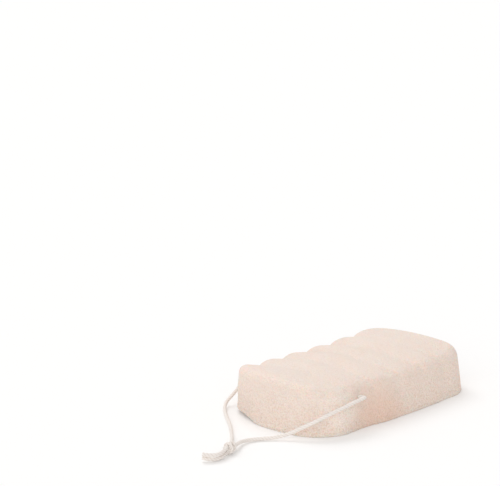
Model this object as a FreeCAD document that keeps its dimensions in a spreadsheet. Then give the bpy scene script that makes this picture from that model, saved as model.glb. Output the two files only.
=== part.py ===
import FreeCAD, Part
import math
import os
import Sketcher

# Konjac body sponge: a wave-topped block of cast foam with a loop of cotton cord through one end.
# Millimetres. The origin is the middle of the flat underside, +X runs along the sponge away from
# the cord's end, +Y across it and +Z up. The cord leaves the foam on both long sides, lies along
# the surface that the sponge stands on and is tied in one knot beyond the near end.

SIZES = {
    # Foam block: plan outline of tangent arcs, walls leaning in towards the top
    "sponge_length": 130,
    "sponge_width": 74,
    "sponge_height": 27,
    "side_radius": 480,
    "end_radius": 130,
    "corner_radius": 22,
    "wall_draft": 6,
    # Top: waves across the width, those at the ends wider, crowned so that it falls to both sides.
    # A reach is how far an end wave's highest line is from the trough beside it.
    "trough_count": 5,
    "wave_pitch": 19.2,
    "near_wave_width": 25.5,
    "near_crest_reach": 14,
    "far_crest_reach": 18,
    "wave_depth": 2.3,
    "trough_radius": 5.5,
    "crown_drop": 4.8,
    "shoulder_radius": 4.7,
    # Channel that the cord is threaded through, near one end
    "channel_inset": 33,
    "channel_height": 16.5,
    "channel_clearance": 0.3,
    # Cord, drawn with flat sides, and its knot
    "cord_diameter": 2.0,
    "cord_sides": 6,
    "cord_stub": 0.5,
    "knot_length": 7.7,
    "knot_width": 6.4,
    "knot_lean": 24,
    "knot_heading": 200,
    # Reach of a cutting shape past what it cuts
    "overrun": 10,
}

# Routes of the free cord, as steps in millimetres from the point where each piece starts.
# Legs start where the cord leaves the foam, at the channel's two mouths.
RIGHT_LEG = (
    (0.0, -2.9, 0.0), (-2.6, -4.3, -0.3), (-9.0, -4.3, -1.2), (-17.0, -3.2, -2.7),
    (-23.8, -0.8, -4.7), (-29.8, 3.2, -7.1), (-34.2, 8.4, -9.9), (-37.8, 13.4, -12.8),
    (-43.2, 18.4, -15.0), (-50.0, 24.2, -15.4), (-56.3, 26.6, -15.1), (-62.8, 25.1, -14.3),
    (-69.8, 21.3, -13.3),
)
LEFT_LEG = (
    (0.0, 3.2, 0.0), (-3.0, 5.8, -2.3), (-8.8, 6.4, -6.5), (-14.6, 6.0, -10.3),
    (-21.2, 5.8, -13.8), (-27.0, 1.4, -15.4), (-33.4, -6.2, -15.4), (-39.4, -13.8, -15.4),
    (-46.4, -22.6, -15.4), (-54.6, -31.0, -15.4), (-62.3, -38.9, -14.3), (-70.4, -46.0, -13.0),
)
# Tails start inside the knot, beside and above each other.
LOWER_TAIL = (
    (-3.6, -1.5, -0.9), (-8.0, -2.4, -1.15), (-12.0, -0.7, -1.05), (-14.0, 2.7, -0.3),
)
UPPER_TAIL = (
    (-3.6, -1.7, -0.6), (-8.0, -2.6, -1.1), (-12.2, -1.1, -1.0), (-14.8, 2.0, -0.4),
)
KNOT_FROM_CHANNEL = (-73.6, -13.6, -13.2)
LOWER_TAIL_FROM_KNOT = (-3.0, -1.3, -1.0)
UPPER_TAIL_FROM_KNOT = (-3.0, -1.3, 1.2)

# Share of the shorter run beside a corner that the arc there takes up
ARC_SHARE = 0.45
# How far a swept tube's volume may be from its section times its length
TUBE_VOLUME_SHARE = 0.02
# A face whose unit normal points up by less than this is a wall, and one above it a top
STEEP_SHARE = 0.5
QUARTER_TURN = 90
FULL_TURN = 360

# Derived sizes, as expressions of the sheet's cells
CROWN_RADIUS = "(((sizes.sponge_width / 2)^2 + sizes.crown_drop^2) / (2 * sizes.crown_drop))"
CHANNEL_X = "(sizes.channel_inset - sizes.sponge_length / 2)"
LEAN_AT_CHANNEL = "(sizes.channel_height * tan(sizes.wall_draft))"
MOUTH_Y = (
    f"(sizes.sponge_width / 2 - sizes.side_radius + sizes.cord_stub"
    f" + sqrt((sizes.side_radius - {LEAN_AT_CHANNEL})^2 - {CHANNEL_X}^2))"
)

doc = FreeCAD.newDocument("konjac_sponge")
sheet = doc.addObject("Spreadsheet::Sheet", "sizes")
for row, (name, value) in enumerate(SIZES.items(), start=1):
    sheet.set(f"A{row}", name)
    sheet.set(f"B{row}", str(value))
    sheet.setAlias(f"B{row}", name)
doc.recompute()


def bind(item, **expressions):
    """Drive properties of an object by expressions of the sheet's cells."""
    for name, expression in expressions.items():
        item.setExpression(name.replace("__", "."), expression)


def new_sketch(body, name, role):
    """A sketch flat on one of its own body's origin planes."""
    plane = next(item for item in body.Origin.OriginFeatures if item.Role == role)
    sketch = body.newObject("Sketcher::SketchObject", name)
    sketch.AttachmentSupport = [(plane, "")]
    sketch.MapMode = "FlatFace"
    return sketch


def constrain(sketch, kind, *where):
    return sketch.addConstraint(Sketcher.Constraint(kind, *where))


def dimension(sketch, kind, name, expression, *where):
    """A named, sheet-driven dimension."""
    index = constrain(sketch, kind, *where)
    sketch.renameConstraint(index, name)
    sketch.setExpression(f"Constraints.{name}", expression)


def arc(centre, radius, start, end):
    circle = Part.Circle(FreeCAD.Vector(*centre, 0), FreeCAD.Vector(0, 0, 1), radius)
    return Part.ArcOfCircle(circle, start, end)


def crossing(centre_a, radius_a, centre_b, radius_b):
    """The upper point where two circles cross."""
    along = FreeCAD.Vector(centre_b[0] - centre_a[0], centre_b[1] - centre_a[1], 0)
    gap = along.Length
    along.normalize()
    step = (radius_a**2 - radius_b**2 + gap**2) / (2 * gap)
    rise = math.sqrt(radius_a**2 - step**2)
    x = centre_a[0] + step * along.x
    y = centre_a[1] + step * along.y
    return max((x - rise * along.y, y + rise * along.x), (x + rise * along.y, y - rise * along.x),
               key=lambda point: point[1])


def bearing(start, end):
    return math.atan2(end[1] - start[1], end[0] - start[0])


def draw_plan(sketch):
    """Rounded oblong of eight tangent arcs: bulged sides and ends, and four equal corners."""
    half_length = sheet.get("sponge_length") / 2
    half_width = sheet.get("sponge_width") / 2
    side, end, corner = (sheet.get(f"{name}_radius") for name in ("side", "end", "corner"))
    side_centre = (0, half_width - side)
    end_centre = (half_length - end, 0)
    x, y = crossing(side_centre, side - corner, end_centre, end - corner)
    low = bearing(end_centre, (x, y))
    high = bearing(side_centre, (x, y))
    turn = math.pi
    shapes = (
        ((half_length - end, 0), end, -low, low),
        ((x, y), corner, low, high),
        ((0, half_width - side), side, high, turn - high),
        ((-x, y), corner, turn - high, turn - low),
        ((end - half_length, 0), end, turn - low, turn + low),
        ((-x, -y), corner, turn + low, turn + high),
        ((0, side - half_width), side, turn + high, 2 * turn - high),
        ((x, -y), corner, -high, -low),
    )
    for shape in shapes:
        sketch.addGeometry(arc(*shape), False)
    for index in range(len(shapes)):
        constrain(sketch, "Tangent", index, 2, (index + 1) % len(shapes), 1)
    for index, axis in ((0, -1), (4, -1), (2, -2), (6, -2)):
        constrain(sketch, "PointOnObject", index, 3, axis)
    for first, second in ((0, 4), (2, 6), (1, 3), (1, 5), (1, 7)):
        constrain(sketch, "Equal", first, second)
    dimension(sketch, "Radius", "end_arc", "sizes.end_radius", 0, end)
    dimension(sketch, "Radius", "side_arc", "sizes.side_radius", 2, side)
    dimension(sketch, "Radius", "corner_arc", "sizes.corner_radius", 1, corner)
    inward = "sizes.end_radius - sizes.sponge_length / 2"
    dimension(sketch, "DistanceX", "far_end", inward, 0, 3, -1, 1, end - half_length)
    dimension(sketch, "DistanceX", "near_end", inward, -1, 1, 4, 3, end - half_length)
    inward = "sizes.side_radius - sizes.sponge_width / 2"
    dimension(sketch, "DistanceY", "left_side", inward, 2, 3, -1, 1, side - half_width)
    dimension(sketch, "DistanceY", "right_side", inward, -1, 1, 6, 3, side - half_width)


def draw_top(sketch):
    """Everything above the waved top, drawn along the sponge from its near end as one chain of
    tangent arcs: crest, trough, crest and so on. The crown's centre line is the X axis."""
    value = {name: sheet.get(name) for name in SIZES}
    depth = value["wave_depth"]
    trough = value["trough_radius"]
    half_width = value["sponge_width"] / 2
    crown = (half_width**2 + value["crown_drop"]**2) / (2 * value["crown_drop"])
    count = value["trough_count"]
    places = [value["near_wave_width"] + index * value["wave_pitch"] for index in range(count)]
    reaches = [value["near_crest_reach"]] + [value["wave_pitch"] / 2] * (count - 1)
    reaches.append(value["far_crest_reach"])
    names = ["sizes.near_crest_reach"] + ["sizes.wave_pitch / 2"] * (count - 1)
    names.append("sizes.far_crest_reach")
    peaks = [places[0] - reaches[0]]
    peaks.extend(place + reach for place, reach in zip(places, reaches[1:]))
    radii = [(reach**2 + depth**2) / (2 * depth) - trough for reach in reaches]
    leans = [math.asin(reach / (radius + trough)) for reach, radius in zip(reaches, radii)]
    left = -value["overrun"]
    right = value["sponge_length"] + value["overrun"]
    up = math.pi / 2
    starts = [math.asin((peaks[0] - left) / radii[0])] + leans[1:]
    ends = leans[:-1] + [math.asin((right - peaks[-1]) / radii[-1])]
    for index, (peak, radius) in enumerate(zip(peaks, radii)):
        turn = (up - ends[index], up + starts[index])
        sketch.addGeometry(arc((peak, crown - radius), radius, *turn), False)
    for index, place in enumerate(places):
        turn = (-up - leans[index], leans[index + 1] - up)
        sketch.addGeometry(arc((place, crown - depth + trough), trough, *turn), False)
    heights = [crown - radius + math.sqrt(radius**2 - (edge - peak)**2)
               for edge, peak, radius in ((right, peaks[-1], radii[-1]), (left, peaks[0], radii[0]))]
    top = crown + 2 * value["overrun"]
    corners = ((right, heights[0]), (right, top), (left, top), (left, heights[1]))
    for begin, end in zip(corners, corners[1:]):
        line = Part.LineSegment(FreeCAD.Vector(*begin, 0), FreeCAD.Vector(*end, 0))
        sketch.addGeometry(line, False)

    first = count + 1
    lines = first + count
    for index in range(count):
        constrain(sketch, "Tangent", index, 1, first + index, 1)
        constrain(sketch, "Tangent", first + index, 2, index + 1, 2)
    constrain(sketch, "Coincident", count, 1, lines, 1)
    constrain(sketch, "Coincident", lines, 2, lines + 1, 1)
    constrain(sketch, "Coincident", lines + 1, 2, lines + 2, 1)
    constrain(sketch, "Coincident", lines + 2, 2, 0, 2)
    constrain(sketch, "Vertical", lines)
    constrain(sketch, "Horizontal", lines + 1)
    constrain(sketch, "Vertical", lines + 2)
    crown_at = f"{CROWN_RADIUS} - sizes.wave_depth + sizes.trough_radius"
    for index, place in enumerate(places):
        item = first + index
        dimension(sketch, "Radius", f"trough_{index}", "sizes.trough_radius", item, trough)
        dimension(sketch, "DistanceX", f"trough_place_{index}",
                  f"sizes.near_wave_width + {index} * sizes.wave_pitch", -1, 1, item, 3, place)
        dimension(sketch, "DistanceY", f"trough_height_{index}", crown_at,
                  -1, 1, item, 3, crown - depth + trough)
    for index, (name, radius) in enumerate(zip(names, radii)):
        bound = f"(({name})^2 + sizes.wave_depth^2) / (2 * sizes.wave_depth) - sizes.trough_radius"
        dimension(sketch, "Radius", f"crest_{index}", bound, index, radius)
        if index in (0, count):
            dimension(sketch, "DistanceY", f"crest_height_{index}", f"{CROWN_RADIUS} - ({bound})",
                      -1, 1, index, 3, crown - radius)
    dimension(sketch, "DistanceX", "near_side", "sizes.overrun", lines + 1, 2, -1, 1, -left)
    dimension(sketch, "DistanceX", "far_side", "sizes.sponge_length + sizes.overrun",
              -1, 1, lines + 1, 1, right)
    dimension(sketch, "DistanceY", "former_top", f"{CROWN_RADIUS} + 2 * sizes.overrun",
              -1, 1, lines + 1, 1, top)
    bind(sketch, AttachmentOffset__Base__x="-sizes.sponge_length / 2",
         AttachmentOffset__Base__y=f"sizes.sponge_height - {CROWN_RADIUS}")


def shoulder_edges(shape):
    """Names of the edges where the waved top meets the walls."""
    names = []
    for index, edge in enumerate(shape.Edges, start=1):
        middle = edge.valueAt((edge.FirstParameter + edge.LastParameter) / 2)
        faces = shape.ancestorsOfType(edge, Part.Face)
        tilts = sorted(abs(face.normalAt(*face.Surface.parameter(middle)).z) for face in faces)
        above_middle = middle.z > sheet.get("sponge_height") / 2
        if above_middle and len(tilts) == 2 and tilts[0] < STEEP_SHARE < tilts[1]:
            names.append(f"Edge{index}")
    return names


def sponge_body():
    """Cast foam: drafted block, waved and crowned top, round shoulders, pierced channel."""
    body = doc.addObject("PartDesign::Body", "sponge_body")
    plan = new_sketch(body, "plan", "XY_Plane")
    draw_plan(plan)
    block = body.newObject("PartDesign::Pad", "block")
    block.Profile = plan
    bind(block, Length="sizes.sponge_height + sizes.overrun", TaperAngle="-sizes.wall_draft")
    doc.recompute()

    former = new_sketch(body, "top_former", "XZ_Plane")
    draw_top(former)
    waves = body.newObject("PartDesign::Groove", "waves")
    waves.Profile = former
    waves.ReferenceAxis = (former, ["H_Axis"])
    waves.Angle = FULL_TURN
    body.Tip = waves
    doc.recompute()

    shoulder = body.newObject("PartDesign::Fillet", "shoulder")
    shoulder.Base = (waves, shoulder_edges(waves.Shape))
    bind(shoulder, Radius="sizes.shoulder_radius")
    doc.recompute()

    bore = sheet.get("cord_diameter") / 2 + sheet.get("channel_clearance")
    section = new_sketch(body, "channel_section", "XZ_Plane")
    round_hole = Part.Circle(FreeCAD.Vector(), FreeCAD.Vector(0, 0, 1), bore)
    section.addGeometry(round_hole, False)
    dimension(section, "Radius", "bore", "sizes.cord_diameter / 2 + sizes.channel_clearance", 0, bore)
    constrain(section, "Coincident", 0, 3, -1, 1)
    bind(section, AttachmentOffset__Base__x=CHANNEL_X,
         AttachmentOffset__Base__y="sizes.channel_height")
    channel = body.newObject("PartDesign::Pocket", "channel")
    channel.Profile = section
    channel.Type = "ThroughAll"
    channel.Midplane = True
    body.Tip = channel
    doc.recompute()
    taken = shoulder.Shape.Volume - channel.Shape.Volume
    if taken < math.pi * bore**2 * sheet.get("sponge_width") / 2:
        raise RuntimeError(f"the channel took only {taken} mm3")
    return body


def string_through():
    """The stretch of cord inside the foam, just proud of both walls."""
    stretch = doc.addObject("Part::Cylinder", "string_through")
    bind(stretch, Radius="sizes.cord_diameter / 2", Height=f"2 * {MOUTH_Y}")
    lie_down = FreeCAD.Rotation(FreeCAD.Vector(1, 0, 0), -QUARTER_TURN)
    stretch.Placement = FreeCAD.Placement(FreeCAD.Vector(), lie_down)
    bind(stretch, Placement__Base__x=CHANNEL_X, Placement__Base__y=f"-{MOUTH_Y}",
         Placement__Base__z="sizes.channel_height")
    return stretch


def cord_path(points):
    """Straight runs joined by the largest tangent arcs that the runs leave room for."""
    edges = []
    radii = []
    start = points[0]
    for before, corner, after in zip(points, points[1:], points[2:]):
        into = corner - before
        out = after - corner
        step = ARC_SHARE * min(into.Length, out.Length)
        turn = into.getAngle(out)
        radii.append(step / math.tan(turn / 2))
        into.normalize()
        out.normalize()
        arc_start = corner - into * step
        arc_end = corner + out * step
        inward = (out - into).normalize()
        middle = corner + inward * (radii[-1] / math.cos(turn / 2) - radii[-1])
        edges.append(Part.LineSegment(start, arc_start).toShape())
        edges.append(Part.Arc(arc_start, middle, arc_end).toShape())
        start = arc_end
    edges.append(Part.LineSegment(start, points[-1]).toShape())
    return Part.Wire(edges), radii


def cord_section(centre, along):
    """The cord's flat-sided outline, square to the direction in which it sets off."""
    radius = sheet.get("cord_diameter") / 2
    sides = int(sheet.get("cord_sides"))
    turn = 2 * math.pi / sides
    up = FreeCAD.Vector(0, 0, 1)
    across = along.cross(up).normalize()
    upright = across.cross(along).normalize()
    corners = []
    for index in range(sides):
        angle = (index + 1 / 2) * turn
        corners.append(centre + (across * math.cos(angle) + upright * math.sin(angle)) * radius)
    corners.append(corners[0])
    return Part.makePolygon(corners), sides / 2 * math.sin(turn) * radius**2


def cord(name, start, steps):
    """A free stretch of the cord: a tube along its route."""
    points = [start]
    points.extend(start + FreeCAD.Vector(*step) for step in steps)
    path, radii = cord_path(points)
    section, area = cord_section(points[0], points[1] - points[0])
    tube = path.makePipeShell([section], True, False)
    if abs(tube.Volume / (area * path.Length) - 1) > TUBE_VOLUME_SHARE:
        raise RuntimeError(f"{name}: tube volume {tube.Volume} for {area * path.Length}")
    print(name, "length", round(path.Length, 1), "radii", [round(value, 1) for value in radii])
    item = doc.addObject("Part::Feature", name)
    item.Shape = tube
    return item


def string_knot(centre):
    """Overhand knot of both cord ends, drawn tight: a short core under two crossed wraps."""
    core = doc.addObject("Part::Prism", "knot_core")
    bind(core, Polygon="sizes.cord_sides", Height="sizes.knot_length",
         Circumradius="(sizes.knot_width - sizes.cord_diameter / 2) / 2",
         Placement__Base__z="-sizes.knot_length / 2")
    section = doc.addObject("Part::RegularPolygon", "wrap_section")
    section.Placement.Rotation = FreeCAD.Rotation(FreeCAD.Vector(1, 0, 0), QUARTER_TURN)
    bind(section, Polygon="sizes.cord_sides", Circumradius="sizes.cord_diameter / 2",
         Placement__Base__x="(sizes.knot_width - sizes.cord_diameter) / 2")
    pieces = [core]
    for lean in (1, -1):
        wrap = doc.addObject("Part::Revolution", "knot_wrap")
        wrap.Source = section
        wrap.Axis = FreeCAD.Vector(0, 0, 1)
        wrap.Angle = FULL_TURN
        wrap.Solid = True
        wrap.Placement.Rotation = FreeCAD.Rotation(FreeCAD.Vector(1, 0, 0), lean)
        bind(wrap, Placement__Rotation__Angle=f"{lean} * sizes.knot_lean")
        pieces.append(wrap)
    knot = doc.addObject("Part::MultiFuse", "string_knot")
    knot.Shapes = pieces
    heading = FreeCAD.Rotation(FreeCAD.Vector(0, 0, 1), sheet.get("knot_heading"))
    lie_down = FreeCAD.Rotation(FreeCAD.Vector(0, 1, 0), QUARTER_TURN)
    knot.Placement = FreeCAD.Placement(centre, heading * lie_down)
    return knot


foam = sponge_body()
through = string_through()
doc.recompute()
channel_x = through.Placement.Base.x
mouth_y = through.Height.Value / 2
channel_z = through.Placement.Base.z
knot_centre = FreeCAD.Vector(channel_x, 0, channel_z) + FreeCAD.Vector(*KNOT_FROM_CHANNEL)
parts = [
    foam,
    through,
    cord("string_leg_right", FreeCAD.Vector(channel_x, -mouth_y, channel_z), RIGHT_LEG),
    cord("string_leg_left", FreeCAD.Vector(channel_x, mouth_y, channel_z), LEFT_LEG),
    string_knot(knot_centre),
    cord("string_tail_lower", knot_centre + FreeCAD.Vector(*LOWER_TAIL_FROM_KNOT), LOWER_TAIL),
    cord("string_tail_upper", knot_centre + FreeCAD.Vector(*UPPER_TAIL_FROM_KNOT), UPPER_TAIL),
]
doc.recompute()

for item in doc.Objects:
    if {"Invalid", "Error"} & set(item.State):
        raise RuntimeError(f"{item.Name} failed: {item.State}")
for part in parts:
    if part.Shape.isNull() or not part.Shape.isValid():
        raise RuntimeError(f"{part.Label} has no valid shape")
os.makedirs("parts", exist_ok=True)
for part in parts:
    part.Shape.exportStep(f"parts/{part.Label}.step")
    print(part.Label, round(part.Shape.Volume, 1), "mm3", part.Shape.BoundBox)
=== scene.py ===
import math

import bpy
import numpy as np
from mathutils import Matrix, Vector, noise


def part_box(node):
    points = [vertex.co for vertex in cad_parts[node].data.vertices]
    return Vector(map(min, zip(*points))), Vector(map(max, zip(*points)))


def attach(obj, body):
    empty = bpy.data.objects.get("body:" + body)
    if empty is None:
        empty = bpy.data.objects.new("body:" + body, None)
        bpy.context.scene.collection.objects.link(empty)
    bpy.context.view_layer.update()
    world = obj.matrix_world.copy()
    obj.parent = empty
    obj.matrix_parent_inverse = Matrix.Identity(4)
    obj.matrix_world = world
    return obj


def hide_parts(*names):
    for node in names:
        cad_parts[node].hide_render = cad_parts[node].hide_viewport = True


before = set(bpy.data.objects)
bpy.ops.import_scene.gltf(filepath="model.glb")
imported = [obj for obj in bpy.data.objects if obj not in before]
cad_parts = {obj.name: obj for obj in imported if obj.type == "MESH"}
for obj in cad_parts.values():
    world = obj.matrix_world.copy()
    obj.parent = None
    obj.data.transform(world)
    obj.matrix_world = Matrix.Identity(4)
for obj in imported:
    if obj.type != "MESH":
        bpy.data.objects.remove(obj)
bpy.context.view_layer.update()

# Konjac sponge: one block of fine open foam, made of konjac root flour that is cast in a mould,
# frozen, thawed and dried. The mould gives it six waves, with five troughs between them, over a
# crowned top. It dries unevenly, so its walls ripple and its base no longer lies quite flat.
MILLIMETRE = 0.001
FOAM_VOXEL = 0.0005
# Troughs as moulded: how many, how far apart, where the first is, how deep, and how far they slope
TROUGHS = 5
TROUGH_PITCH = 0.0192
NEAR_WAVE_WIDTH = 0.0255
TROUGH_DEPTH = 0.0023
TROUGH_REACH = 0.0046
NEAR_TROUGH_REACH = 0.0060
FAR_TROUGH_REACH = 0.0073
# How drying filled them, as shares of their depth: everywhere, more to the right, and in the last
FILLED_ALL_OVER = 0.1
FILLED_RIGHT = 0.75
FILLED_LAST = 0.4
FILLED_AT_MOST = 0.9
# How far their right ends moved along the sponge, and how near to its ends that fades
WAVE_SLANT = 0.006
SLANT_FADE = 0.03
# Flutes in the walls below them, and the share of their depth that is left at the base
FLUTE_DEPTH = 0.0007
FLUTE_WIDTH = 0.0035
FLUTE_AT_BASE = 0.35
WALL_LEAN = 0.0022
WALL_LEAN_FROM = 0.007
# Corner that curled up: how far, round which reach, and the share of it that the top didn't follow
CORNER_LIFT = 0.0032
CORNER_REACH = 0.034
CORNER_TOP_LOSS = 0.56
# Where the foot of that corner drew in, how far round it, and by how much, in millimetres
FOOT_PLACE = (-62, 21)
FOOT_REACH = (12, 10)
FOOT_SHIFT = (3.6, -1.4)
# Place and reach along and across the sponge, and shift along, across and up, in millimetres
SETTLED = (
    ((-5, 34), (36, 16), (0, 0, -1.2)),
    ((-58, 30), (10, 14), (0, 0, 0.8)),
    ((50, 33), (12, 12), (0, 0, 1.6)),
    ((60, -2), (14, 26), (0, 0, -1.5)),
    ((60, -30), (14, 14), (0.8, -0.9, 0)),
    ((-60, 25), (12, 12), (-0.6, 0.8, 0)),
    ((-28, -36), (9, 9), (0, 1.3, 0)),
    ((-44, -34), (8, 9), (-0.4, -0.6, 0)),
)
# Uneven shrinkage, and the largest open cells
LUMP_SIZE = 0.028
LUMP_HEIGHT = 0.0005
PIT_SIZE = 0.0022
PIT_DEPTH = 0.0001
# Channel for the cord, how far the foam closes on it, and how far the cord presses its mouths in
CHANNEL_RADIUS = 0.0013
CHANNEL_GAP = 0.0004
MOUTH_DIMPLE = 0.0005
MOUTH_REACH = 0.0028
# Undyed foam; warmer painted shade low on the right wall, paler painted light on the near right
# corner
FOAM_CREAM = "#F1E3D9"
FOAM_PINK = "#ECDACE"
FOAM_PAINTED_SHADE = "#E9CAB9"
PAINTED_SHADE_PLACE = (-0.020, -0.037, 0.000)
FOAM_PAINTED_LIGHT = "#F8ECE2"
PAINTED_LIGHT_PLACE = (-0.047, -0.035, 0.013)
FOAM_SPECK = "#CFAE92"
BLUSH_SIZE = 0.045
CELL_SIZE = 0.0008
PORE_SIZE = 0.0011


def linear(colour):
    """A hex colour as linear red, green, blue and alpha."""
    parts = [int(colour[i:i + 2], 16) / 255 for i in (1, 3, 5)]
    return [p / 12.92 if p <= 0.04045 else ((p + 0.055) / 1.055) ** 2.4 for p in parts] + [1.0]


def new_material(name):
    """A material with no nodes in it yet."""
    material = bpy.data.materials.new(name)
    material.use_nodes = True
    material.node_tree.nodes.clear()
    return material


def add_node(owner, kind, settings=None, inputs=None):
    """Adds a node to a material or a world. An input is a value or the (node, output) for it."""
    tree = owner.node_tree
    node = tree.nodes.new(kind)
    for key, value in (settings or {}).items():
        setattr(node, key, value)
    for key, value in (inputs or {}).items():
        if isinstance(value, tuple) and isinstance(value[0], bpy.types.Node):
            tree.links.new(value[0].outputs[value[1]], node.inputs[key])
        else:
            node.inputs[key].default_value = value
    return node


def ease(value, start, end):
    """Share from 0 to 1 as a value goes from start to end, eased at both."""
    share = np.clip((value - start) / (end - start), 0, 1)
    return share * share * (3 - 2 * share)


def points_of(mesh):
    """A mesh's vertices, one row each."""
    co = np.zeros(len(mesh.vertices) * 3)
    mesh.vertices.foreach_get("co", co)
    return co.reshape(-1, 3)


def lumps(points, size):
    """Gradient noise at every point, from about -1 to 1."""
    return np.array([noise.noise(Vector(p) / size) for p in points])


def dried_foam():
    """The moulded block with the shape that drying gave it."""
    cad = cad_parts["sponge_body"]
    foam = bpy.data.objects.new("foam_block", cad.data.copy())
    bpy.context.scene.collection.objects.link(foam)
    remesh = foam.modifiers.new("remesh", "REMESH")
    remesh.mode = "VOXEL"
    remesh.voxel_size = FOAM_VOXEL
    depsgraph = bpy.context.evaluated_depsgraph_get()
    mesh = bpy.data.meshes.new_from_object(foam.evaluated_get(depsgraph))
    foam.modifiers.clear()
    foam.data = mesh
    p = points_of(mesh)
    low, high = (np.array(corner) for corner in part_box("sponge_body"))
    size = high - low
    height = (p[:, 2] - low[2]) / size[2]

    # Walls draw in a little below each trough
    across = np.abs(p[:, 1]) / high[1]
    first_trough = low[0] + NEAR_WAVE_WIDTH
    nearest = np.clip(np.round((p[:, 0] - first_trough) / TROUGH_PITCH), 0, TROUGHS - 1)
    off_trough = p[:, 0] - first_trough - nearest * TROUGH_PITCH
    flute = FLUTE_DEPTH * np.exp(-(off_trough / FLUTE_WIDTH) ** 2)
    flute *= ease(across, 0.7, 0.9) * (FLUTE_AT_BASE + (1 - FLUTE_AT_BASE) * height)
    p[:, 1] -= np.sign(p[:, 1]) * flute

    # The troughs grow shallower and run a little aslant towards the right side
    rightward = ease(-p[:, 1], -size[1] / 2, size[1] / 2)
    near_top = ease(height, 0.7, 0.9)
    filled = FILLED_ALL_OVER + FILLED_RIGHT * rightward + FILLED_LAST * (nearest == TROUGHS - 1)
    filled = np.clip(filled, 0, FILLED_AT_MOST)
    reach = np.full(len(p), TROUGH_REACH)
    reach[(nearest == 0) & (off_trough < 0)] = NEAR_TROUGH_REACH
    reach[(nearest == TROUGHS - 1) & (off_trough > 0)] = FAR_TROUGH_REACH
    p[:, 2] += TROUGH_DEPTH * filled * near_top * np.exp(-(off_trough / reach) ** 2)
    inward = ease(p[:, 0] - low[0], 0, SLANT_FADE) * ease(high[0] - p[:, 0], 0, SLANT_FADE)
    p[:, 0] -= WAVE_SLANT * rightward * inward * near_top

    # The right wall leans in more towards the top
    upper = np.clip((p[:, 2] - WALL_LEAN_FROM) / (high[2] - WALL_LEAN_FROM), 0, 1)
    p[:, 1] += WALL_LEAN * upper ** 2 * ease(across, 0.6, 0.9) * (p[:, 1] < 0)

    # Uneven drying pulled the block in at some places and left it fuller at others
    for place, spread, shift in SETTLED:
        off = (p[:, :2] / MILLIMETRE - place) / spread
        weight = np.exp(-(off ** 2).sum(axis=1))
        p[:, :2] += weight[:, None] * np.array(shift[:2]) * MILLIMETRE
        p[:, 2] += weight * ease(height, 0, 0.8) * shift[2] * MILLIMETRE

    # One corner curled up as it dried, and its foot drew in
    corner = np.array([low[0], high[1]])
    away = np.linalg.norm(p[:, :2] - corner, axis=1)
    curl = 1 - ease(away, 0, CORNER_REACH)
    p[:, 2] += CORNER_LIFT * curl * (1 - CORNER_TOP_LOSS * height)
    off = (p[:, :2] / MILLIMETRE - FOOT_PLACE) / FOOT_REACH
    weight = np.exp(-(off ** 2).sum(axis=1)) * (1 - ease(height, 0, 0.5))
    p[:, :2] += weight[:, None] * np.array(FOOT_SHIFT) * MILLIMETRE

    # The foam closes round the cord, which presses it in where it enters
    channel = [(one + other) / 2 for one, other in zip(*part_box("string_through"))]
    to_cord = p[:, [0, 2]] - [channel[0], channel[2]]
    from_mouth = np.linalg.norm(to_cord, axis=1)
    grip = CHANNEL_GAP * (1 - ease(from_mouth, CHANNEL_RADIUS, CHANNEL_RADIUS + MOUTH_REACH))
    p[:, [0, 2]] -= to_cord * (grip / np.maximum(from_mouth, CHANNEL_GAP))[:, None]
    press = MOUTH_DIMPLE * np.exp(-(from_mouth / MOUTH_REACH) ** 2) * ease(across, 0.8, 0.9)
    p[:, 1] -= np.sign(p[:, 1]) * press

    # Uneven shrinkage, and the open cells at the surface
    mesh.vertices.foreach_set("co", p.ravel())
    mesh.update()
    normal = np.zeros(len(p) * 3)
    mesh.vertices.foreach_get("normal", normal)
    normal = normal.reshape(-1, 3)
    off_floor = ease(height, 0, 0.15)
    push = LUMP_HEIGHT * lumps(p, LUMP_SIZE) * off_floor
    push -= PIT_DEPTH * np.clip(lumps(p, PIT_SIZE), 0, 1) * off_floor
    p += normal * push[:, None]
    p[:, 2] = np.clip(p[:, 2], 0, None)
    mesh.vertices.foreach_set("co", p.ravel())
    mesh.polygons.foreach_set("use_smooth", np.ones(len(mesh.polygons), bool))
    mesh.update()
    return foam


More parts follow.
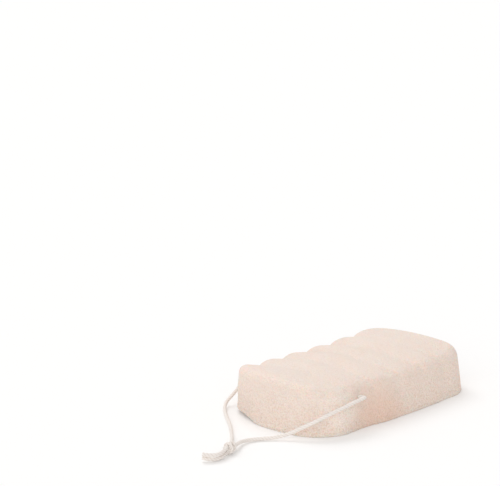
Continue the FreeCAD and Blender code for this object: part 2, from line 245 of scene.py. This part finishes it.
def konjac_foam():
    """Dry konjac foam, cast and unpolished: matt and softly see-through, speckled by its open
    cells. Those are about half a millimetre wide and are drawn at 0.8 mm so that they show. Painted
    shade makes it darker and pinker low on the right wall, and its specks heavier towards the
    floor;
    painted light makes the near right corner paler."""
    material = new_material("konjac_foam")
    place = add_node(material, "ShaderNodeTexCoord")
    blush = add_node(material, "ShaderNodeTexNoise", {}, {
        "Vector": (place, "Object"), "Scale": 1 / BLUSH_SIZE, "Detail": 3.0})
    cells = add_node(material, "ShaderNodeTexNoise", {}, {
        "Vector": (place, "Object"), "Scale": 1 / CELL_SIZE, "Detail": 2.0, "Roughness": 0.6})
    pores = add_node(material, "ShaderNodeTexVoronoi", {"feature": "F1"}, {
        "Vector": (place, "Object"), "Scale": 1 / PORE_SIZE, "Randomness": 1.0})
    tone = add_node(material, "ShaderNodeMix", {"data_type": "RGBA"}, {
        "Factor": (blush, "Fac"), 6: linear(FOAM_CREAM), 7: linear(FOAM_PINK)})
    # Painted shade: a darker, pinker patch low on the right wall
    from_painted_shade = add_node(material, "ShaderNodeVectorMath", {"operation": "DISTANCE"}, {
        0: (place, "Object"), 1: PAINTED_SHADE_PLACE})
    painted_shade = add_node(material, "ShaderNodeMapRange", {"interpolation_type": "SMOOTHSTEP"}, {
        "Value": (from_painted_shade, "Value"), "From Min": 0.006, "From Max": 0.028,
        "To Min": 0.75, "To Max": 0.0})
    painted_shade_tone = add_node(material, "ShaderNodeMix", {"data_type": "RGBA"}, {
        "Factor": (painted_shade, "Result"), 6: (tone, 2), 7: linear(FOAM_PAINTED_SHADE)})
    # Painted light: a paler patch on the near right corner
    from_painted_light = add_node(material, "ShaderNodeVectorMath", {"operation": "DISTANCE"}, {
        0: (place, "Object"), 1: PAINTED_LIGHT_PLACE})
    painted_light = add_node(material, "ShaderNodeMapRange", {"interpolation_type": "SMOOTHSTEP"}, {
        "Value": (from_painted_light, "Value"), "From Min": 0.004, "From Max": 0.016,
        "To Min": 0.8, "To Max": 0.0})
    painted_light_and_shade = add_node(material, "ShaderNodeMix", {"data_type": "RGBA"}, {
        "Factor": (painted_light, "Result"), 6: (painted_shade_tone, 2), 7: linear(FOAM_PAINTED_LIGHT)})
    # Painted shade: the specks of open cells grow heavier towards the floor
    upright = add_node(material, "ShaderNodeSeparateXYZ", {}, {0: (place, "Object")})
    share = add_node(material, "ShaderNodeMapRange", {}, {
        "Value": (upright, "Z"), "From Min": 0.024, "From Max": 0.004,
        "To Min": 0.3, "To Max": 0.75})
    specks_and_floor_shade = add_node(material, "ShaderNodeMapRange", {}, {
        "Value": (cells, "Fac"), "From Min": 0.45, "From Max": 0.8,
        "To Min": 0.0, "To Max": (share, "Result")})
    colour = add_node(material, "ShaderNodeMix", {"data_type": "RGBA"}, {
        "Factor": (specks_and_floor_shade, "Result"), 6: (painted_light_and_shade, 2), 7: linear(FOAM_SPECK)})
    height = add_node(material, "ShaderNodeMath", {"operation": "ADD"}, {
        0: (pores, "Distance"), 1: (cells, "Fac")})
    relief = add_node(material, "ShaderNodeBump", {}, {
        "Height": (height, "Value"), "Strength": 0.6, "Distance": 0.0006})
    surface = add_node(material, "ShaderNodeBsdfPrincipled", {}, {
        "Base Color": (colour, 2), "Roughness": 0.95, "IOR": 1.35,
        "Subsurface Weight": 0.35, "Subsurface Radius": (1.0, 0.45, 0.30),
        "Subsurface Scale": 0.003, "Normal": (relief, "Normal")})
    add_node(material, "ShaderNodeOutputMaterial", {}, {"Surface": (surface, "BSDF")})
    return material


foam = dried_foam()
foam.data.materials.clear()
foam.data.materials.append(konjac_foam())
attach(foam, "sponge")
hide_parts("sponge_body")

# Cord: one length of soft white cotton, three yarns twisted together, threaded through the foam.
# Its two legs leave the channel, drop to the surface and run together to the knot.
CORD_DIAMETER = 0.002
# Length of one turn of the twist, and the cord's radius in a groove and on a yarn, as shares
CORD_LAY = 0.0052
GROOVE_RADIUS = 0.80
YARN_SWELL = 0.15
CORD_SIDES = 18
YARNS = 3
FIBRE_SIZE = 0.0004
# Cotton, and a darker tone for its flecks and for painted shade in the grooves of the twist
COTTON_WHITE = "#F1EAE4"
COTTON_FLECK_AND_SHADE = "#E1D7CF"
# Points that each leg's smooth line follows, in millimetres, from the foam to the knot
RIGHT_ROUTE = (
    (-32.0, -34.694, 16.5), (-31.3, -36.5, 16.8), (-34.0, -36.9, 16.7), (-41.5, -36.4, 15.9),
    (-49.5, -35.5, 14.3), (-56.4, -33.2, 12.3), (-61.9, -30.4, 9.8), (-66.3, -25.8, 6.8),
    (-69.9, -21.2, 3.7), (-75.2, -16.294, 1.5), (-82.0, -10.494, 1.1), (-88.3, -8.094, 1.4),
    (-94.8, -9.594, 2.2), (-101.8, -13.394, 3.2),
)
LEFT_ROUTE = (
    (-32.0, 34.694, 16.5), (-32.0, 37.894, 16.5), (-35.0, 40.494, 14.2), (-40.8, 41.094, 10.0),
    (-46.6, 40.694, 6.2), (-53.2, 40.494, 2.7), (-59.0, 36.094, 1.1), (-65.4, 28.494, 1.1),
    (-71.4, 20.894, 1.1), (-78.4, 12.094, 1.1), (-86.6, 3.694, 1.1), (-94.3, -4.206, 2.2),
    (-102.4, -11.306, 3.5),
)


def line_along(route):
    """Points, in metres, on the smooth line that a route's points control."""
    curve = bpy.data.curves.new("line", "CURVE")
    curve.dimensions = "3D"
    curve.resolution_u = 24
    spline = curve.splines.new("NURBS")
    spline.points.add(len(route) - 1)
    for point, place in zip(spline.points, route):
        point.co = (*(Vector(place) * MILLIMETRE), 1)
    spline.order_u = 3
    spline.use_endpoint_u = True
    holder = bpy.data.objects.new("line", curve)
    bpy.context.scene.collection.objects.link(holder)
    bpy.context.view_layer.update()
    mesh = bpy.data.meshes.new_from_object(holder)
    line = [v.co.copy() for v in mesh.vertices]
    bpy.data.objects.remove(holder)
    bpy.data.curves.remove(curve)
    bpy.data.meshes.remove(mesh)
    return line


def twisted_tube(line, diameter, lay):
    """Vertices, faces and groove depths of three yarns twisted round a line, closed at its ends."""
    verts, faces, grooves = [], [], []
    along = 0.0
    side = None
    for index, here in enumerate(line):
        before = line[max(index - 1, 0)]
        after = line[min(index + 1, len(line) - 1)]
        ahead = (after - before).normalized()
        if side is None:
            side = ahead.orthogonal().normalized()
        side = (side - ahead * side.dot(ahead)).normalized()
        up = ahead.cross(side)
        along += (here - line[index - 1]).length if index else 0.0
        turn = 2 * math.pi * along / lay
        for k in range(CORD_SIDES):
            angle = 2 * math.pi * k / CORD_SIDES
            lobe = abs(math.cos(YARNS / 2 * (angle - turn)))
            radius = diameter / 2 * (GROOVE_RADIUS + YARN_SWELL * lobe ** 0.7)
            verts.append(here + (side * math.cos(angle) + up * math.sin(angle)) * radius)
            grooves.append(1 - lobe)
    for ring in range(len(line) - 1):
        for k in range(CORD_SIDES):
            a = ring * CORD_SIDES + k
            b = ring * CORD_SIDES + (k + 1) % CORD_SIDES
            faces.append((a, b, b + CORD_SIDES, a + CORD_SIDES))
    last = (len(line) - 1) * CORD_SIDES
    faces.append(tuple(reversed(range(CORD_SIDES))))
    faces.append(tuple(range(last, last + CORD_SIDES)))
    return verts, faces, grooves


def cotton_piece(name, tubes):
    """One object of one or more twisted tubes, in cotton, on the loop's body."""
    verts, faces, grooves = [], [], []
    for tube_verts, tube_faces, tube_grooves in tubes:
        start = len(verts)
        verts.extend(tube_verts)
        grooves.extend(tube_grooves)
        faces.extend(tuple(start + i for i in face) for face in tube_faces)
    mesh = bpy.data.meshes.new(name)
    mesh.from_pydata(verts, [], faces)
    mesh.polygons.foreach_set("use_smooth", np.ones(len(mesh.polygons), bool))
    groove = mesh.attributes.new("groove", "FLOAT", "POINT")
    groove.data.foreach_set("value", np.array(grooves, np.float32))
    mesh.update()
    piece = bpy.data.objects.new(name, mesh)
    bpy.context.scene.collection.objects.link(piece)
    mesh.materials.append(COTTON)
    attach(piece, "cord_loop")
    return piece


def spun_cotton():
    """Bleached cotton yarn, spun and twisted: matt and slightly fuzzy, with painted shade down in
    the lay of the twist. Its fibres, far thinner than the eye sees, are drawn as flecks of 0.4 mm."""
    material = new_material("spun_cotton")
    place = add_node(material, "ShaderNodeTexCoord")
    groove = add_node(material, "ShaderNodeAttribute", {"attribute_name": "groove"})
    fibres = add_node(material, "ShaderNodeTexNoise", {}, {
        "Vector": (place, "Object"), "Scale": 1 / FIBRE_SIZE, "Detail": 3.0})
    # Painted shade: the cotton darkens down in the grooves of the twist
    groove_shade = add_node(material, "ShaderNodeMath", {"operation": "POWER"}, {
        0: (groove, "Fac"), 1: 2.0})
    flecks_and_groove_shade = add_node(material, "ShaderNodeMath", {"operation": "MULTIPLY_ADD"}, {
        0: (fibres, "Fac"), 1: 0.35, 2: (groove_shade, "Value")})
    colour = add_node(material, "ShaderNodeMix", {"data_type": "RGBA"}, {
        "Factor": (flecks_and_groove_shade, "Value"), 6: linear(COTTON_WHITE), 7: linear(COTTON_FLECK_AND_SHADE)})
    relief = add_node(material, "ShaderNodeBump", {}, {
        "Height": (fibres, "Fac"), "Strength": 0.4, "Distance": 0.0002})
    surface = add_node(material, "ShaderNodeBsdfPrincipled", {}, {
        "Base Color": (colour, 2), "Roughness": 0.9, "IOR": 1.5,
        "Sheen Weight": 0.3, "Sheen Roughness": 0.5, "Normal": (relief, "Normal")})
    add_node(material, "ShaderNodeOutputMaterial", {}, {"Surface": (surface, "BSDF")})
    return material


COTTON = spun_cotton()

right_line = line_along(RIGHT_ROUTE)
left_line = line_along(LEFT_ROUTE)
right_leg = cotton_piece("cord_leg_right", [twisted_tube(right_line, CORD_DIAMETER, CORD_LAY)])
left_leg = cotton_piece("cord_leg_left", [twisted_tube(left_line, CORD_DIAMETER, CORD_LAY)])
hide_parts("string_leg_right")
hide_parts("string_leg_left")

# Cord inside the channel: the same cotton, threaded through and lying straight between the two
# holes, where the foam closes on it.
THROUGH_STEPS = 60
start, end = Vector(right_line[0]), Vector(left_line[0])
inner_line = [start.lerp(end, i / THROUGH_STEPS) for i in range(THROUGH_STEPS + 1)]
inner_cord = cotton_piece("cord_through", [twisted_tube(inner_line, CORD_DIAMETER, CORD_LAY)])
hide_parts("string_through")

# Knot: both ends of the cord tied together in one overhand knot and drawn tight, so that the two
# strands wrap side by side round themselves.
KNOT_HEADING = math.radians(200)
KNOT_STRAND = 0.0019
# Turns of each strand round the other: radius, start and run along the knot in millimetres, angles
WRAP_RADIUS = 2.1
WRAP_START = 1.9
WRAP_RUN = 3.2
WRAP_ANGLE = 0.9
WRAP_TURN = 2.2 * math.pi
WRAP_POINTS = 14


def wrap_route(shift, phase):
    """One strand of the knot: in along the middle, back round itself, and out underneath."""
    low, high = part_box("string_knot")
    centre = (low + high) / 2 / MILLIMETRE
    axis = Vector((math.cos(KNOT_HEADING), math.sin(KNOT_HEADING), 0))
    side = Vector((-axis.y, axis.x, 0))
    up = Vector((0, 0, 1))

    def place(along, radius, angle):
        angle += phase
        return centre + axis * along + (side * math.cos(angle) + up * math.sin(angle)) * radius

    route = [place(-4.4, 0.9, 0), place(-2.5, 0.8, 0), place(0.5, 0.8, 0), place(2.3, 1.2, 0.4)]
    for i in range(WRAP_POINTS):
        share = i / (WRAP_POINTS - 1)
        along = WRAP_START - WRAP_RUN * share + shift
        route.append(place(along, WRAP_RADIUS, WRAP_ANGLE + share * WRAP_TURN))
    out = WRAP_ANGLE + WRAP_TURN
    route += [place(-1.6, 1.2, out + 0.6), place(0.8, 0.9, out + 0.9), place(4.4, 0.9, out + 0.9)]
    return route


knot = cotton_piece("cord_knot", [
    twisted_tube(line_along(wrap_route(shift, phase)), KNOT_STRAND, CORD_LAY)
    for shift, phase in ((-0.9, 0.0), (0.9, math.pi))
])
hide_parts("string_knot")

# Tails: the two ends of the cord past the knot, cut off square, one lying on the other. Both run
# on away from the sponge and bend round to the left. Points in millimetres.
LOWER_TAIL = (
    (-108.6, -14.9, 2.3), (-112.2, -16.4, 1.4), (-116.6, -17.3, 1.15), (-120.6, -15.6, 1.25),
    (-122.6, -12.2, 2.0),
)
UPPER_TAIL = (
    (-108.6, -14.9, 4.5), (-112.2, -16.6, 3.9), (-116.6, -17.5, 3.4), (-120.8, -16.0, 3.5),
    (-123.4, -12.9, 4.1),
)
for name, route in (("lower", LOWER_TAIL), ("upper", UPPER_TAIL)):
    tube = twisted_tube(line_along(route), CORD_DIAMETER, CORD_LAY)
    tail = cotton_piece(f"cord_tail_{name}", [tube])
    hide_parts(f"string_tail_{name}")

# Surface that it lies on: one wide sheet of matt white paper, which takes the sponge's shadow.
# The camera sees a small share of plain white in it, so that the open floor reads as white.
HALF_FLOOR = 10.0
FLOOR_WHITE = "#FBFAF9"
FLOOR_GLOW_SHARE = 0.1
floor_mesh = bpy.data.meshes.new("floor")
signs = ((-1, -1), (1, -1), (1, 1), (-1, 1))
floor_corners = [(x * HALF_FLOOR, y * HALF_FLOOR, 0) for x, y in signs]
floor_mesh.from_pydata(floor_corners, [], [(0, 1, 2, 3)])
floor = bpy.data.objects.new("floor", floor_mesh)
bpy.context.scene.collection.objects.link(floor)
paper = new_material("white_paper")
ray = add_node(paper, "ShaderNodeLightPath")
matt = add_node(paper, "ShaderNodeBsdfDiffuse", {}, {"Color": linear(FLOOR_WHITE)})
seen = add_node(paper, "ShaderNodeMath", {"operation": "MULTIPLY"}, {
    0: (ray, "Is Camera Ray"), 1: FLOOR_GLOW_SHARE})
glow = add_node(paper, "ShaderNodeEmission", {}, {"Color": (1, 1, 1, 1), "Strength": 1.0})
both = add_node(paper, "ShaderNodeMixShader", {}, {
    0: (seen, "Value"), 1: (matt, "BSDF"), 2: (glow, "Emission")})
add_node(paper, "ShaderNodeOutputMaterial", {}, {"Surface": (both, "Shader")})
floor_mesh.materials.append(paper)

# Room: an even white room round the table. It lights the sponge softly from all sides, and the
# camera sees it as plain white.
ROOM_LIGHT = 0.69
room = bpy.data.worlds.new("room")
room.use_nodes = True
room.node_tree.nodes.clear()
bpy.context.scene.world = room
ray = add_node(room, "ShaderNodeLightPath")
light = add_node(room, "ShaderNodeBackground", {}, {"Color": (1, 1, 1, 1), "Strength": ROOM_LIGHT})
white = add_node(room, "ShaderNodeBackground", {}, {"Color": (1, 1, 1, 1), "Strength": 1.0})
seen = add_node(room, "ShaderNodeMixShader", {}, {
    0: (ray, "Is Camera Ray"), 1: (light, "Background"), 2: (white, "Background")})
add_node(room, "ShaderNodeOutputWorld", {}, {"Surface": (seen, "Shader")})

# Lamps: a broad soft one high on the left, and another that lights the near end.
# Name, strength, spread in degrees, and the direction that it stands in.
LAMPS = (
    ("key_lamp", 0.95, 40, (0.14, 0.505, 0.85)),
    ("fill_lamp", 0.84, 60, (-0.78, -0.42, 0.35)),
)
for name, strength, spread, toward in LAMPS:
    lamp_data = bpy.data.lights.new(name, "SUN")
    lamp_data.energy = strength
    lamp_data.angle = math.radians(spread)
    lamp = bpy.data.objects.new(name, lamp_data)
    lamp.location = toward
    lamp.rotation_mode = "QUATERNION"
    lamp.rotation_quaternion = (-Vector(toward)).to_track_quat("-Z", "Y")
    bpy.context.scene.collection.objects.link(lamp)

# Camera: a long lens at the photograph's viewing angle, low in front of the near right corner.
# Place in metres, direction it looks in, and focal length in millimetres on 36 mm film.
CAMERA_PLACE = (-0.6508, -0.5504, 0.2652)
CAMERA_AHEAD = (0.7060, 0.6774, -0.2062)
CAMERA_LENS = 119.88
FILM_WIDTH = 36
camera_data = bpy.data.cameras.new("camera")
camera_data.sensor_width = FILM_WIDTH
camera_data.lens = CAMERA_LENS
camera_data.clip_start = 0.01
camera_data.clip_end = 50
camera = bpy.data.objects.new("camera", camera_data)
camera.location = CAMERA_PLACE
camera.rotation_mode = "QUATERNION"
camera.rotation_quaternion = Vector(CAMERA_AHEAD).to_track_quat("-Z", "Y")
bpy.context.scene.collection.objects.link(camera)
bpy.context.scene.camera = camera
bpy.context.scene.view_settings.view_transform = "Standard"
